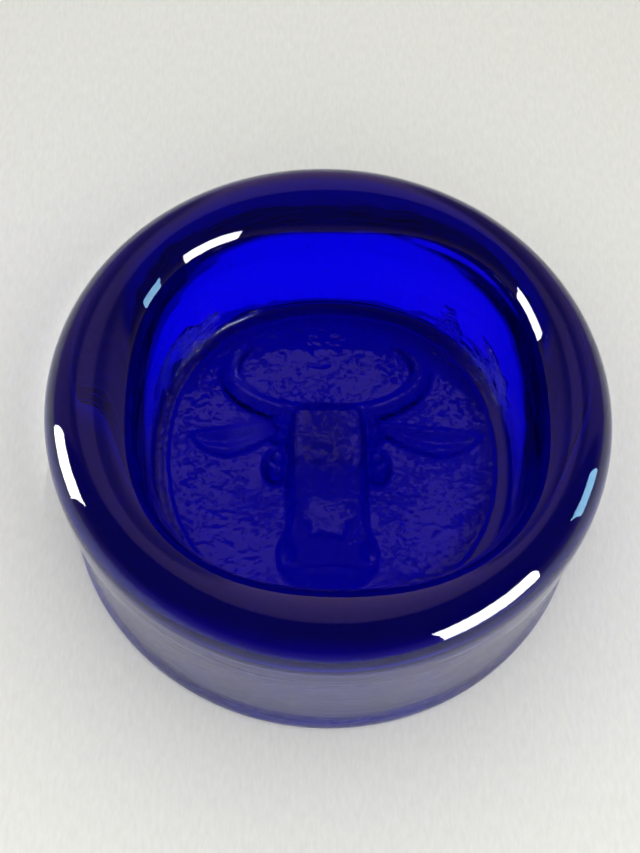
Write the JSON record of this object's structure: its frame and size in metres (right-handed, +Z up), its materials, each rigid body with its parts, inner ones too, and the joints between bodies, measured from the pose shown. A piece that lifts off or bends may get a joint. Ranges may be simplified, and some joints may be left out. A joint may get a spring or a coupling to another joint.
{
  "type": "glass dish",
  "caption": "Heavy round cobalt-blue glass dish with a thick floor, a fat rolled rim and an ox head raised from the floor; holds small things on a table.",
  "frame": {"origin": "centre of the underside, on the surface that the dish stands on", "axes": "+Z up out of the well; the ox's muzzle points to -Y and its horns to +Y; +X is to the right for a viewer who sees the ox upright"},
  "size_m": [0.14, 0.14, 0.0578],
  "materials": {
    "cobalt_glass": "glossy solid cobalt-blue glass, fire-polished outside, with a slightly chilled, rippled skin in the well"
  },
  "bodies": {
    "root": {"base_disc": "cobalt_glass", "side_wall": "cobalt_glass", "rolled_rim": "cobalt_glass", "ox_head": "cobalt_glass", "left_horn": "cobalt_glass", "right_horn": "cobalt_glass", "left_ear": "cobalt_glass", "right_ear": "cobalt_glass"}
  },
  "joints": []
}
